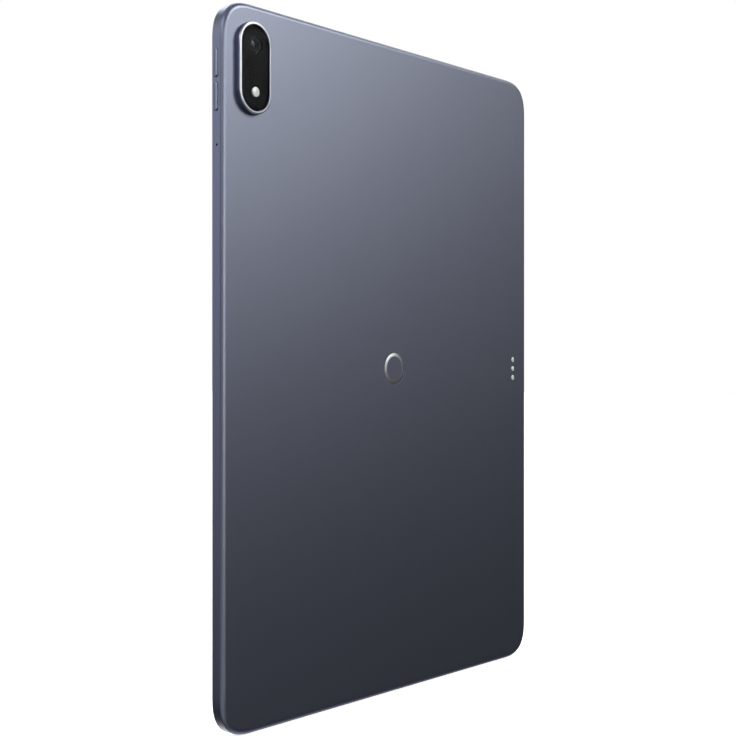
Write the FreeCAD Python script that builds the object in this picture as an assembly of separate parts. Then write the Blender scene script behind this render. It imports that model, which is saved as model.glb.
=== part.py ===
import FreeCAD, Part
import math
import os

# Slim tablet computer, standing upright on a short edge.
# Millimetres. X runs across the back towards the edge with the volume keys, Y out of the back,
# Z up the long side. The origin is at the middle of the lower short edge, half way through the slab.

# Overall size
body_width = 209.7
body_height = 289.6
body_depth = 6.0
corner_radius = 13.0
back_edge_radius = 1.0
front_edge_chamfer = 0.2

# Housing walls
rear_wall = 0.7
rim_width = 1.0
ledge_width = 1.8

# Cover glass and the screen behind it
glass_depth = 0.6
glass_gap = 0.1
glass_edge_radius = 0.25
glass_adhesive_depth = 0.15
glass_adhesive_gap = 0.15
side_bezel = 7.4
end_bezel = 8.4
cell_side_border = 1.0
cell_end_border = 1.4
cell_depth = 0.65
backlight_depth = 0.8
backlight_inset = 0.9
screen_plate_depth = 0.2
screen_clearance = 0.1
cell_corner = 3.0
backlight_corner = 2.5

# Rear camera: ring, window, module and flash
ring_width = 17.8
ring_length = 36.8
ring_rise = 2.3
ring_from_side = 16.1
ring_from_top = 25.7
ring_flange_width = 1.5
ring_flange_depth = 0.55
ring_gap = 0.05
ring_edge_radius = 0.35
window_width = 15.3
window_length = 34.0
window_depth = 0.6
window_gap = 0.05
window_below_ring = 0.05
window_ledge = 0.9
window_gasket_depth = 0.1
camera_base_size = 9.6
camera_tower_size = 8.5
camera_board_depth = 0.4
camera_lens_diameter = 6.4
camera_lens_length = 3.6
camera_lens_gap = 0.15
camera_wall = 0.4
camera_corner = 0.5
camera_room_depth = 0.6
sensor_width = 5.2
sensor_height = 4.2
sensor_depth = 0.3
lens_mouth_inner = 3.2
lens_mouth_outer = 4.8
lens_mouth_depth = 0.6
lens_front_radius = 3.2
lens_front_sink = 0.35
focus_travel = 0.3
focus_clearance = 0.1
flash_diameter = 4.2
flash_flange = 0.6
flash_flange_depth = 0.4
flash_gap = 0.06
flash_board_size = 8.0
flash_board_depth = 0.4
flash_lamp_size = 2.4
flash_lamp_depth = 0.4
flash_post_wall = 1.5
flash_post_floor = 1.0

# Keys, and the switches behind them
key_from_back = 3.45
key_width = 2.0
key_rise = 0.5
key_travel = 0.3
key_gap = 0.1
key_end_round = 0.95
key_edge_radius = 0.25
key_flange_depth = 0.5
key_flange_margin = 0.8
key_flange_gap = 0.05
key_nub_diameter = 1.6
key_nub_length = 0.35
switch_clearance = 0.05
switch_diameter = 3.0
switch_height = 0.4
switch_board_depth = 0.3
switch_board_width = 3.2
switch_board_corner = 0.6
key_bracket_depth = 0.25
key_bracket_reach = 1.6
key_bracket_gap = 0.1
volume_key_length = 11.3
volume_up_from_top = 25.6
volume_down_from_top = 38.8
power_key_length = 13.4
power_key_from_side = 21.5

# Marks and contacts on the back
emblem_diameter = 14.0
emblem_band = 1.5
emblem_depth = 0.25
emblem_gap = 0.03
contact_count = 3
contact_pitch = 4.5
contact_diameter = 2.8
contact_from_side = 11.4
contact_sleeve = 0.3
contact_gap = 0.05
contact_recess = 0.05
contact_holder_width = 6.0
contact_holder_depth = 0.6
contact_holder_end = 1.0
contact_holder_corner = 1.5
contact_pad_length = 14.0

# Boards, chips, connectors and folded flex cables
standoff = 0.4
board_depth = 0.7
board_from_top = 26.0
board_height = 36.0
board_margin = 2.5
board_side_margin = 26.0
board_corner = 1.5
processor_size = 14.0
memory_size = (12.0, 13.0)
radio_chips = ((0.25, 8.0, 8.0), (0.5, 9.0, 6.0), (0.8, 7.0, 7.0))
chip_height = 0.8
shield_depth = 1.3
shield_wall = 0.15
shield_height = 26.0
shield_corner = 1.0
shield_beside_flex = 2.0
spreader_depth = 0.1
connector_depth = 0.65
connector_length = 5.0
connector_shift = 0.5
flex_clearance = 1.0
flex_bend = 0.5
flex_depth = 0.15
wide_flex = 24.0
narrow_flex = 4.0
sub_board_width = 26.0
sub_board_top = 46.0
sub_connector_from_top = 4.0

# USB-C receptacle
usb_width = 8.94
usb_depth = 3.16
usb_wall = 0.3
usb_length = 7.0
usb_recess = 0.4
usb_slot_gap = 0.12
usb_sink = 0.38
usb_tongue_width = 6.69
usb_tongue_depth = 0.7
usb_tongue_recess = 0.5
usb_tongue_corner = 0.3
usb_root_length = 1.2
usb_root_gap = 0.02
usb_seal_margin = 0.55
usb_seal_length = 0.8
usb_seal_gap = 0.01

# Battery
battery_bottom = 56.0
battery_from_top = 70.0
battery_side_margin = 14.5
battery_split = 6.0
battery_corner = 2.0
battery_front_gap = 0.1
battery_adhesive_depth = 0.1
battery_adhesive_width = 12.0
battery_adhesive_inset = 10.0
battery_adhesive_shares = (0.2, 0.8)
battery_board_height = 4.0
battery_board_gap = 0.8
battery_board_depth = 0.5
battery_tab_width = 5.0
battery_tab_shares = (0.3, 0.6)
battery_cable_width = 1.6
battery_cable_gap = 0.2

# Speakers, one in each quarter of the body
speaker_from_side = 59.85
speaker_width = 49.0
speaker_ear = 4.5
speaker_ear_low = 3.0
speaker_ear_high = 1.0
speaker_inner_from_end = 24.5
speaker_wall = 0.4
speaker_gap = 0.05
speaker_nozzle_width = 30.0
speaker_nozzle_depth = 2.2
speaker_nozzle_length = 4.4
speaker_mesh_depth = 0.15
speaker_mesh_corner = 0.5
grille_hole = 1.2
grille_pitch = 2.3
grille_count = 12
cone_length = 30.0
cone_width = 11.0
cone_depth = 0.3
cone_travel = 0.3
cone_clearance = 0.1
speaker_magnet_length = 24.0
speaker_magnet_width = 7.0
speaker_magnet_corner = 1.0
speaker_drive_gap = 1.0
voice_coil_shorter = 4.0
voice_coil_narrower = 2.0
voice_coil_band = 0.5

# Small parts along the edges
microphone_hole = 0.9
microphone_from_top = 57.6
microphone_from_back = 3.1
microphone_beside_port = 11.0
microphone_size = 3.0
microphone_height = 1.0
microphone_narrower = 0.8
front_camera_from_side = 4.15
front_camera_size = 4.2
front_camera_depth = 3.0
front_camera_lens = 2.8
front_camera_gap = 0.1
front_camera_corner = 0.4
front_camera_step = 0.05
light_sensor_size = 2.4
light_sensor_depth = 0.8
light_sensor_gap = 0.1
light_sensor_above_camera = 12.0
edge_magnet_length = 10.0
edge_magnet_depth = 1.2
edge_magnet_height = 2.4
edge_magnet_gap = 1.0
keyboard_magnet_length = 26.0
keyboard_magnet_width = 5.0
keyboard_magnet_depth = 1.0
keyboard_magnet_corner = 0.8
keyboard_magnet_spread = 2.0
keyboard_magnet_into_wall = 0.2
coil_length = 28.0
coil_width = 2.6
coil_height = 0.5
coil_band = 0.7
coil_corner_less = 0.1
antenna_size = 15.0
antenna_wall = 1.2
antenna_corner = 2.0
antenna_room_corner = 1.0
antenna_from_side = 5.0
antenna_from_end = 6.0
antenna_rear_gap = 0.1

# Screws
screw_diameter = 1.4
screw_head_diameter = 2.6
screw_head_height = 0.3
screw_gap = 0.05
boss_diameter = 3.4
screw_into_wall = 0.3

# Cutting tools and joined pieces run past their faces by these
past = 1.0
overlap = 0.1

# Levels through the slab, from the screen side to the back
front = -body_depth / 2
back = body_depth / 2
glass_back = front + glass_depth
ledge_level = glass_back + glass_adhesive_depth
cell_back = glass_back + cell_depth
backlight_back = cell_back + backlight_depth
screen_back = backlight_back + screen_plate_depth
inside_front = screen_back + screen_clearance
inside_back = back - rear_wall
board_back = inside_back - standoff
board_front = board_back - board_depth
shield_front = board_front - shield_depth
connector_front = board_front - connector_depth
port_y = board_front + usb_sink - usb_depth / 2

# Places across the body
half_width = body_width / 2
mid_height = body_height / 2
wall = rim_width + ledge_width
inside_half = half_width - wall
inside_top = body_height - wall
ring_x = half_width - ring_from_side
ring_z = body_height - ring_from_top
lens_z = ring_z + (ring_length - ring_width) / 2
flash_z = ring_z - (ring_length - ring_width) / 2
ring_top = back + ring_rise
window_top = ring_top - window_below_ring
window_bottom = window_top - window_depth
gasket_bottom = window_bottom - window_gasket_depth
key_y = back - key_from_back
board_top = body_height - board_from_top
board_bottom = board_top - board_height
board_right = ring_x - ring_width / 2 - ring_flange_width - board_margin
board_left = -(half_width - board_side_margin)
battery_top = body_height - battery_from_top
battery_half = inside_half - battery_side_margin
speaker_x = half_width - speaker_from_side
contact_x = -(half_width - contact_from_side)
front_camera_x = half_width - front_camera_from_side


def block(x, y, z, radius=0.0, axis="y"):
    """A box between pairs of limits, with the four edges along one axis rounded."""
    if radius == 0:
        return Part.makeBox(x[1] - x[0], y[1] - y[0], z[1] - z[0], FreeCAD.Vector(x[0], y[0], z[0]))
    spans = {"x": (y, z, x), "y": (z, x, y), "z": (x, y, z)}
    (a0, a1), (b0, b1), (c0, c1) = spans[axis]

    def place(a, b, c):
        order = {"x": (c, a, b), "y": (b, c, a), "z": (a, b, c)}
        return FreeCAD.Vector(*order[axis])

    centres = [(a1 - radius, b1 - radius), (a0 + radius, b1 - radius)]
    centres += [(a0 + radius, b0 + radius), (a1 - radius, b0 + radius)]
    arcs = []
    for quarter, (a, b) in enumerate(centres):
        turns = [math.radians(90 * quarter + step) for step in (0, 45, 90)]
        arcs.append([place(a + radius * math.cos(t), b + radius * math.sin(t), c0) for t in turns])
    edges = []
    for arc, following in zip(arcs, arcs[1:] + arcs[:1]):
        edges.append(Part.Arc(*arc).toShape())
        if arc[2].distanceToPoint(following[0]) > 0.001:
            edges.append(Part.LineSegment(arc[2], following[0]).toShape())
    return Part.Face(Part.Wire(edges)).extrude(place(0, 0, c1 - c0))


def rod(axis, diameter, at, low, high):
    """A cylinder along one axis, at the other two coordinates in their usual order."""
    order = {"x": (low, at[0], at[1]), "y": (at[0], low, at[1]), "z": (at[0], at[1], low)}
    way = {"x": (1, 0, 0), "y": (0, 1, 0), "z": (0, 0, 1)}
    start = FreeCAD.Vector(*order[axis])
    return Part.makeCylinder(diameter / 2, high - low, start, FreeCAD.Vector(*way[axis]))


def around(middle, size):
    """The two limits of a span of the given size about its middle."""
    return (middle - size / 2, middle + size / 2)


def joined(first, *others):
    """One solid from touching or overlapping ones."""
    return first.fuse(list(others)).removeSplitter()


def edges_at(shape, axis, level):
    """The edges that lie wholly in one plane across an axis."""
    found = []
    for edge in shape.Edges:
        if all(abs(getattr(vertex.Point, axis) - level) < 0.0001 for vertex in edge.Vertexes):
            found.append(edge)
    return found


def slab(inset, y0, y1):
    """A plate with the outline of the body, drawn in by an inset."""
    x = (-half_width + inset, half_width - inset)
    return block(x, (y0, y1), (inset, body_height - inset), corner_radius - inset)


def pill(width, length, y0, y1):
    """A plate with round ends on the camera's centre line."""
    return block(around(ring_x, width), (y0, y1), around(ring_z, length), width / 2)


def fold(points, across, plane):
    """A flex cable of square bends through points in one plane, with its width across it."""
    half = flex_depth / 2
    runs = []
    for (u0, v0), (u1, v1) in zip(points, points[1:]):
        u = (min(u0, u1) - half, max(u0, u1) + half)
        v = (min(v0, v1) - half, max(v0, v1) + half)
        runs.append(block(across, u, v) if plane == "yz" else block(u, v, across))
    return joined(*runs)


def onto_top(shape):
    """Turns a piece made for the long side with the volume keys onto the upper short side."""
    shape.rotate(FreeCAD.Vector(0, 0, 0), FreeCAD.Vector(0, 1, 0), -90)
    return shape


def quarters(shape):
    """The piece of the upper left quarter, seen from the back, and its three mirrored copies."""
    across = FreeCAD.Vector(0, 0, mid_height)
    right = shape.mirror(across, FreeCAD.Vector(1, 0, 0))
    lower = [each.mirror(across, FreeCAD.Vector(0, 0, 1)) for each in (shape, right)]
    return {"upper_left": shape, "upper_right": right, "lower_left": lower[0], "lower_right": lower[1]}


def speaker_screw_places():
    reach = (speaker_width + speaker_ear) / 2
    from_end = (speaker_inner_from_end + wall) / 2
    places = []
    for side in (-1, 1):
        for end in (-1, 1):
            for z in (from_end, body_height - from_end):
                places.append((side * (speaker_x + end * reach), z))
    return places


def board_screw_places():
    """Four at the corners of the main board and two at the foot of the sub-board."""
    places = []
    for x in (board_left + board_margin, board_right - board_margin):
        for z in (board_bottom + board_margin, board_top - board_margin):
            places.append((x, z))
    for side in (-1, 1):
        places.append((side * (sub_board_width / 2 - board_margin), sub_board_top - board_margin))
    return places


def screw_holes(places):
    width = screw_diameter + 4 * screw_gap
    return [rod("y", width, place, inside_front, inside_back) for place in places]


def screws():
    pieces = []
    for place in board_screw_places() + speaker_screw_places():
        head = rod("y", screw_head_diameter, place, board_front - screw_head_height, board_front)
        shank = rod("y", screw_diameter, place, board_front, inside_back + screw_into_wall - screw_gap)
        pieces.append(joined(head, shank))
    return Part.makeCompound(pieces)


def key_slot(outer, along, length):
    across = around(key_y, key_width + 2 * key_gap)
    run = around(along, length + 2 * key_gap)
    return block((outer - wall - past, outer + past), across, run, key_end_round + key_gap, "x")


def usb_section(margin):
    """Limits and end radius of the port's outline, grown or shrunk by a margin."""
    x = around(0, usb_width + 2 * margin)
    y = around(port_y, usb_depth + 2 * margin)
    return x, y, usb_depth / 2 + margin


def grille_holes():
    """Drilled holes through the upper short side, in front of one speaker."""
    first = speaker_x - grille_pitch * (grille_count - 1) / 2
    holes = []
    for number in range(grille_count):
        at = (first + number * grille_pitch, port_y)
        holes.append(rod("z", grille_hole, at, inside_top - past, body_height + past))
    return Part.makeCompound(holes)


def contact_places():
    first = mid_height - contact_pitch * (contact_count - 1) / 2
    return [(contact_x, first + number * contact_pitch) for number in range(contact_count)]


def emblem_ring(gap, y0, y1):
    at = (0, mid_height)
    outer = rod("y", emblem_diameter + 2 * gap, at, y0, y1)
    return outer.cut(rod("y", emblem_diameter - 2 * emblem_band - 2 * gap, at, y0, y1))


def rear_shell():
    """The machined back with its side walls, the ledge for the glass and every opening."""
    outer = slab(0, front, back)
    outer = outer.makeFillet(back_edge_radius, edges_at(outer, "y", back))
    outer = outer.makeChamfer(front_edge_chamfer, edges_at(outer, "y", front))
    shell = outer.cut([slab(rim_width, front - past, ledge_level), slab(wall, front, inside_back)])
    places = board_screw_places() + speaker_screw_places()
    bosses = [rod("y", boss_diameter, place, board_back, inside_back + overlap) for place in places]
    shell = joined(shell, *bosses)

    hole = screw_diameter + 2 * screw_gap
    cuts = [rod("y", hole, place, board_back, inside_back + screw_into_wall) for place in places]
    hole_width = ring_width + 2 * ring_gap
    hole_length = ring_length + 2 * ring_gap
    cuts.append(pill(hole_width, hole_length, inside_back - past, back + past))
    cuts.append(key_slot(half_width, body_height - volume_up_from_top, volume_key_length))
    cuts.append(key_slot(half_width, body_height - volume_down_from_top, volume_key_length))
    cuts.append(onto_top(key_slot(body_height, power_key_from_side - half_width, power_key_length)))
    port_x, port_depth, port_radius = usb_section(usb_slot_gap)
    cuts.append(block(port_x, port_depth, (-past, wall + past), port_radius, "z"))
    cuts += quarters(grille_holes()).values()
    side_at = (back - microphone_from_back, body_height - microphone_from_top)
    cuts.append(rod("x", microphone_hole, side_at, inside_half - past, half_width + past))
    cuts.append(rod("z", microphone_hole, (microphone_beside_port, port_y), -past, wall + past))
    sleeve = contact_diameter + 2 * contact_sleeve + 2 * contact_gap
    cuts += [rod("y", sleeve, place, inside_back - past, back + past) for place in contact_places()]
    cuts.append(emblem_ring(emblem_gap, back - emblem_depth, back + past))
    notch = front_camera_size + 2 * front_camera_gap
    notch_y = (front, ledge_level + front_camera_depth + front_camera_gap)
    cuts.append(block(around(front_camera_x, notch), notch_y, around(mid_height, notch)))
    return shell.cut(cuts)


def cover_glass():
    glass = slab(rim_width + glass_gap, front, glass_back)
    return glass.makeFillet(glass_edge_radius, edges_at(glass, "y", front))


def glass_adhesive():
    """The loop of tape on the ledge, notched at the front camera."""
    loop = slab(rim_width + glass_adhesive_gap, glass_back, ledge_level)
    loop = loop.cut(slab(wall - glass_adhesive_gap, glass_back, ledge_level))
    notch = around(mid_height, front_camera_size + 2 * front_camera_gap)
    beside = (front_camera_x, front_camera_x + front_camera_size / 2 + front_camera_gap)
    return loop.cut(block(beside, (glass_back, ledge_level), notch))


def camera_ring():
    """The raised pill-shaped surround, held by a flange behind the rear wall."""
    top = pill(ring_width, ring_length, inside_back - overlap, ring_top)
    top = top.makeFillet(ring_edge_radius, edges_at(top, "y", ring_top))
    spread = 2 * ring_flange_width
    low = inside_back - ring_flange_depth
    ring = joined(top, pill(ring_width + spread, ring_length + spread, low, inside_back))
    seat_width = window_width + 2 * window_gap
    seat_length = window_length + 2 * window_gap
    seat = pill(seat_width, seat_length, gasket_bottom, ring_top + past)
    narrower = 2 * window_ledge
    hole = pill(window_width - narrower, window_length - narrower, low - past, ring_top + past)
    return ring.cut([seat, hole])


def camera_window():
    glass = pill(window_width, window_length, window_bottom, window_top)
    hole = flash_diameter + 2 * flash_gap
    return glass.cut(rod("y", hole, (ring_x, flash_z), window_bottom - past, window_top + past))


def camera_window_gasket():
    outer = pill(window_width, window_length, gasket_bottom, window_bottom)
    band = 2 * (window_ledge - window_gap)
    return outer.cut(pill(window_width - band, window_length - band, gasket_bottom, window_bottom))


def flash_lens():
    """A round diffuser through the window, with a flange behind it."""
    at = (ring_x, flash_z)
    low = window_bottom - flash_flange_depth
    flange = rod("y", flash_diameter + 2 * flash_flange, at, low, window_bottom)
    return joined(flange, rod("y", flash_diameter, at, window_bottom, window_top))


def flash_led():
    """A small board with the lamp on it, below the diffuser."""
    top = window_bottom - flash_flange_depth - screen_clearance
    middle = top - flash_lamp_depth
    board = rod("y", flash_board_size, (ring_x, flash_z), middle - flash_board_depth, middle)
    size = flash_lamp_size
    lamp = block(around(ring_x, size), (middle, top), around(flash_z, size), size / 8)
    return joined(board, lamp)


def flash_holder():
    """A plastic post that carries the flash board at the height of the window."""
    top = window_bottom - flash_flange_depth - screen_clearance - flash_lamp_depth - flash_board_depth
    at = (ring_x, flash_z)
    post = rod("y", flash_board_size, at, inside_front + flex_depth, top)
    hollow = flash_board_size - 2 * flash_post_wall
    return post.cut(rod("y", hollow, at, inside_front, top - flash_post_floor))


def rear_camera_sensor():
    """The module's board with the image sensor in the middle."""
    size = camera_base_size
    level = inside_front + camera_board_depth
    board = block(around(ring_x, size), (inside_front, level), around(lens_z, size), camera_corner)
    die_y = (level, level + sensor_depth)
    return joined(board, block(around(ring_x, sensor_width), die_y, around(lens_z, sensor_height)))


def rear_camera_housing():
    """The square can of the camera, wide at the foot, bored for the lens barrel."""
    level = inside_front + camera_board_depth
    shoulder = inside_back - ring_flange_depth - screen_clearance
    top = gasket_bottom - focus_travel
    base = camera_base_size
    tower = camera_tower_size
    foot = block(around(ring_x, base), (level, shoulder), around(lens_z, base), camera_corner)
    can = joined(foot, block(around(ring_x, tower), (level, top), around(lens_z, tower), camera_corner))
    bore = rod("y", camera_lens_diameter + 2 * camera_lens_gap, (ring_x, lens_z), level, top + past)
    inner = base - 2 * camera_wall
    room = block(around(ring_x, inner), (level, level + camera_room_depth), around(lens_z, inner))
    return can.cut([bore, room])


def rear_camera_lens():
    """The lens barrel that the focus drive slides in and out, with its dished front element."""
    top = gasket_bottom - focus_travel - focus_clearance
    at = (ring_x, lens_z)
    barrel = rod("y", camera_lens_diameter, at, top - camera_lens_length, top)
    depth = lens_mouth_depth
    foot = FreeCAD.Vector(ring_x, top - depth, lens_z)
    mouth = Part.makeCone(lens_mouth_inner / 2, lens_mouth_outer / 2, depth, foot, FreeCAD.Vector(0, 1, 0))
    centre = FreeCAD.Vector(ring_x, top - lens_front_sink - lens_front_radius, lens_z)
    element = Part.makeSphere(lens_front_radius, centre)
    trim = rod("y", lens_mouth_inner, at, top - depth - 2 * overlap, top)
    return joined(barrel.cut(mouth), element.common(trim))


def rear_camera_flex():
    level = inside_front + flex_depth / 2
    edge = ring_x - camera_base_size / 2 - flex_depth / 2
    land = connector_front - flex_depth / 2
    rise = board_right + board_margin / 2
    points = [(edge, level), (rise, level), (rise, land), (board_right - 2 * connector_length, land)]
    middle = board_top - 2 * board_margin - connector_length
    return fold(points, around(middle, 2 * narrow_flex), "xy")


def volume_places():
    return [body_height - volume_up_from_top, body_height - volume_down_from_top]


def key(outer, along, length):
    """A key cap through the wall, with a flange that keeps it in and a nub for its switch."""
    flange_out = outer - wall - key_flange_gap
    flange_in = flange_out - key_flange_depth
    across = around(key_y, key_width)
    cap = block((flange_out, outer + key_rise), across, around(along, length), key_end_round, "x")
    cap = cap.makeFillet(key_edge_radius, edges_at(cap, "x", outer + key_rise))
    wide = around(key_y, key_width + key_flange_margin)
    long = around(along, length + 2 * key_flange_margin)
    flange = block((flange_in, flange_out), wide, long, key_end_round, "x")
    nub = rod("x", key_nub_diameter, (key_y, along), flange_in - key_nub_length, flange_in)
    return joined(cap, flange, nub)


def switch_level(outer):
    """The top of a switch dome, clear of its key's nub when the key is pressed home."""
    nub = outer - wall - key_flange_gap - key_flange_depth - key_nub_length
    return nub - key_travel - switch_clearance


def switches(outer, places, length):
    top = switch_level(outer)
    base = top - switch_height
    span = (min(places) - length / 2, max(places) + length / 2)
    x = (base - switch_board_depth, base)
    board = block(x, around(key_y, switch_board_width), span, switch_board_corner, "x")
    domes = [rod("x", switch_diameter, (key_y, place), base, top) for place in places]
    return joined(board, *domes)


def key_bracket(outer, places, length):
    """A bent steel strip that backs the switch board, its ends turned out towards the wall."""
    back_level = switch_level(outer) - switch_height - switch_board_depth
    low = min(places) - length / 2 - key_bracket_reach
    high = max(places) + length / 2 + key_bracket_reach
    across = around(key_y, switch_board_width)
    strip = block((back_level - key_bracket_depth, back_level), across, (low, high))
    ends = []
    for start in (low, high - key_bracket_depth):
        reach = (back_level - key_bracket_depth, outer - wall - key_bracket_gap)
        ends.append(block(reach, across, (start, start + key_bracket_depth)))
    return joined(strip, *ends)


def volume_key(number):
    return key(half_width, volume_places()[number], volume_key_length)


def power_key():
    return onto_top(key(body_height, power_key_from_side - half_width, power_key_length))


def key_switches():
    side = switches(half_width, volume_places(), volume_key_length)
    top = onto_top(switches(body_height, [power_key_from_side - half_width], power_key_length))
    return Part.makeCompound([side, top])


def key_brackets():
    side = key_bracket(half_width, volume_places(), volume_key_length)
    top = onto_top(key_bracket(body_height, [power_key_from_side - half_width], power_key_length))
    return Part.makeCompound([side, top])


def rear_emblem():
    """A plain polished band let into the middle of the back."""
    return emblem_ring(0, back - emblem_depth, back)


def keyboard_contacts():
    """Round metal pads that meet a keyboard's pins."""
    low = inside_back - contact_holder_depth
    top = back - contact_recess
    return Part.makeCompound([rod("y", contact_diameter, place, low, top) for place in contact_places()])


def contact_holder():
    """The plastic strip behind the wall, with a sleeve round each pad."""
    low = inside_back - contact_holder_depth
    length = contact_pitch * contact_count + 2 * contact_holder_end
    across = around(contact_x, contact_holder_width)
    strip = block(across, (low, inside_back), around(mid_height, length), contact_holder_corner)
    width = contact_diameter + 2 * contact_sleeve
    top = back - contact_recess
    sleeves = [rod("y", width, place, low, top) for place in contact_places()]
    return joined(strip, *sleeves).cut(keyboard_contacts())


def contact_flex():
    """The flex cable from the contact pads up the side to the main board."""
    rear = inside_back - contact_holder_depth
    front_side = rear - flex_depth
    run = around(mid_height, contact_pad_length)
    pad = block(around(contact_x, contact_holder_width), (front_side, rear), run)
    turn = board_bottom + 2 * connector_length
    track = (contact_x + contact_holder_width / 2 - narrow_flex, contact_x + contact_holder_width / 2)
    climb = block(track, (front_side, rear), (mid_height, turn + narrow_flex / 2))
    level = front_side + flex_depth / 2
    land = connector_front - flex_depth / 2
    drop = board_left - flex_clearance
    points = [(track[0], level), (drop, level), (drop, land), (board_left + 2 * connector_length, land)]
    return joined(pad, climb, fold(points, around(turn, narrow_flex), "xy"))


def display_outline(inset):
    x = half_width - side_bezel + cell_side_border - inset
    z = end_bezel - cell_end_border + inset
    return (-x, x), (z, body_height - z)


def display_cell():
    x, z = display_outline(0)
    return block(x, (glass_back, cell_back), z, cell_corner)


def display_backlight():
    x, z = display_outline(backlight_inset)
    return block(x, (cell_back, backlight_back), z, backlight_corner)


def display_plate():
    x, z = display_outline(backlight_inset)
    return block(x, (backlight_back, screen_back), z, backlight_corner)


def display_flex():
    """The wide flex cable that wraps the upper end of the screen and plugs into the main board."""
    top = display_outline(0)[1][1]
    level = cell_back + flex_depth / 2
    behind = inside_front + flex_depth / 2
    land = connector_front - flex_depth / 2
    bend = top + flex_bend
    drop = board_top - flex_clearance
    points = [(level, top - backlight_inset / 2), (level, bend), (behind, bend), (behind, drop)]
    points += [(land, drop), (land, drop - connector_length)]
    return fold(points, around(0, wide_flex), "yz")


def main_board():
    x = (board_left, board_right)
    board = block(x, (board_front, board_back), (board_bottom, board_top), board_corner)
    return board.cut(screw_holes(board_screw_places()))


def sub_board():
    """The lower board, which carries the USB-C receptacle on its foot."""
    x = around(0, sub_board_width)
    board = block(x, (board_front, board_back), (usb_recess + usb_length, sub_board_top), board_corner)
    return board.cut(screw_holes(board_screw_places()))


def board_connectors():
    """Low plugs under the end of each flex cable."""
    y = (connector_front, board_front)
    length = connector_length
    wide = around(0, wide_flex)
    top = board_top - flex_clearance
    bottom = board_bottom + flex_clearance
    foot = sub_board_top - sub_connector_from_top
    pieces = [block(wide, y, (top - length, top - connector_shift))]
    pieces.append(block(wide, y, (bottom + connector_shift, bottom + length)))
    pieces.append(block(wide, y, (foot - length, foot - connector_shift)))
    low = board_bottom + 2 * length
    inner = board_left + 2 * length
    pieces.append(block((inner - length, inner), y, around(low, narrow_flex)))
    side = board_right - 2 * length
    pieces.append(block((side, side + length), y, around(low - narrow_flex, narrow_flex)))
    camera = board_top - 2 * board_margin - length
    pieces.append(block((side, side + length), y, around(camera, 2 * narrow_flex)))
    return Part.makeCompound(pieces)


def shield_span(side):
    """The two limits in X of the shield on one side of the flex cables, clear of the connectors."""
    near = wide_flex / 2 + shield_beside_flex
    if side > 0:
        return (near, board_right - 3 * connector_length)
    return (board_left + 3 * connector_length, -near)


def shield_room():
    middle = (board_top + board_bottom) / 2
    return around(middle, shield_height)


def shield(side):
    """A pressed steel can, open towards the board."""
    x = shield_span(side)
    z = shield_room()
    can = block(x, (shield_front, board_front), z, shield_corner)
    inner_x = (x[0] + shield_wall, x[1] - shield_wall)
    inner_z = (z[0] + shield_wall, z[1] - shield_wall)
    inner_y = (shield_front + shield_wall, board_front)
    return can.cut(block(inner_x, inner_y, inner_z, shield_corner - shield_wall))


def chip(side, share, width, height):
    """A chip under one shield, placed at a share of the shield's length."""
    x = shield_span(side)
    middle = x[0] + share * (x[1] - x[0])
    depth = (board_front - chip_height, board_front)
    return block(around(middle, width), depth, around((board_top + board_bottom) / 2, height))


def processor():
    return chip(1, 0.3, processor_size, processor_size)


def board_chips():
    """Memory, power and radio chips."""
    memory = chip(1, 0.75, *memory_size)
    return Part.makeCompound([memory] + [chip(-1, *radio_chip) for radio_chip in radio_chips])


def heat_spreader():
    """A graphite sheet over the processor's shield."""
    x = shield_span(1)
    return block(x, (shield_front - spreader_depth, shield_front), shield_room(), shield_corner)


def usb_receptacle():
    """The drawn metal shell of the port, closed at its inner end."""
    x, y, radius = usb_section(0)
    end = usb_recess + usb_length
    shell = block(x, y, (usb_recess, end), radius, "z")
    x, y, radius = usb_section(-usb_wall)
    return shell.cut(block(x, y, (usb_recess, end - usb_wall), radius, "z"))


def usb_tongue():
    """The contact tongue on its moulded block, inside the shell."""
    end = usb_recess + usb_length - usb_wall
    x, y, radius = usb_section(-usb_wall - usb_root_gap)
    root = block(x, y, (end - usb_root_length, end), radius, "z")
    width = around(0, usb_tongue_width)
    depth = around(port_y, usb_tongue_depth)
    run = (usb_recess + usb_tongue_recess, end - usb_root_length + 2 * overlap)
    return joined(root, block(width, depth, run, usb_tongue_corner, "z"))


def usb_seal():
    """A rubber ring round the receptacle, pressed against the inside of the wall."""
    z = (wall, wall + usb_seal_length)
    x, y, radius = usb_section(usb_seal_margin)
    ring = block(x, y, z, radius, "z")
    x, y, radius = usb_section(usb_seal_gap)
    return ring.cut(block(x, y, z, radius, "z"))


def main_flex():
    """The long flex cable between the two boards, in front of the battery."""
    level = inside_front + flex_depth / 2
    land = connector_front - flex_depth / 2
    upper = board_bottom + flex_clearance + connector_length
    lower = sub_board_top - sub_connector_from_top - connector_length
    turn_up = board_bottom - flex_clearance
    turn_down = sub_board_top + flex_clearance
    points = [(land, upper), (land, turn_up), (level, turn_up)]
    points += [(level, turn_down), (land, turn_down), (land, lower)]
    return fold(points, around(0, wide_flex), "yz")


def battery_span():
    return (battery_split / 2, battery_half)


def battery_cell(side):
    """One flat lithium cell beside the middle of the body."""
    low, high = battery_span()
    x = (low, high) if side > 0 else (-high, -low)
    y = (inside_front + flex_depth + battery_front_gap, inside_back - battery_adhesive_depth)
    return block(x, y, (battery_bottom, battery_top), battery_corner)


def battery_adhesive():
    """Pull strips that hold the cells to the rear wall."""
    low, high = battery_span()
    y = (inside_back - battery_adhesive_depth, inside_back)
    z = (battery_bottom + battery_adhesive_inset, battery_top - battery_adhesive_inset)
    strips = []
    for side in (-1, 1):
        for share in battery_adhesive_shares:
            middle = side * (low + share * (high - low))
            x = around(middle, battery_adhesive_width)
            strips.append(block(x, y, z))
    return Part.makeCompound(strips)


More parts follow.
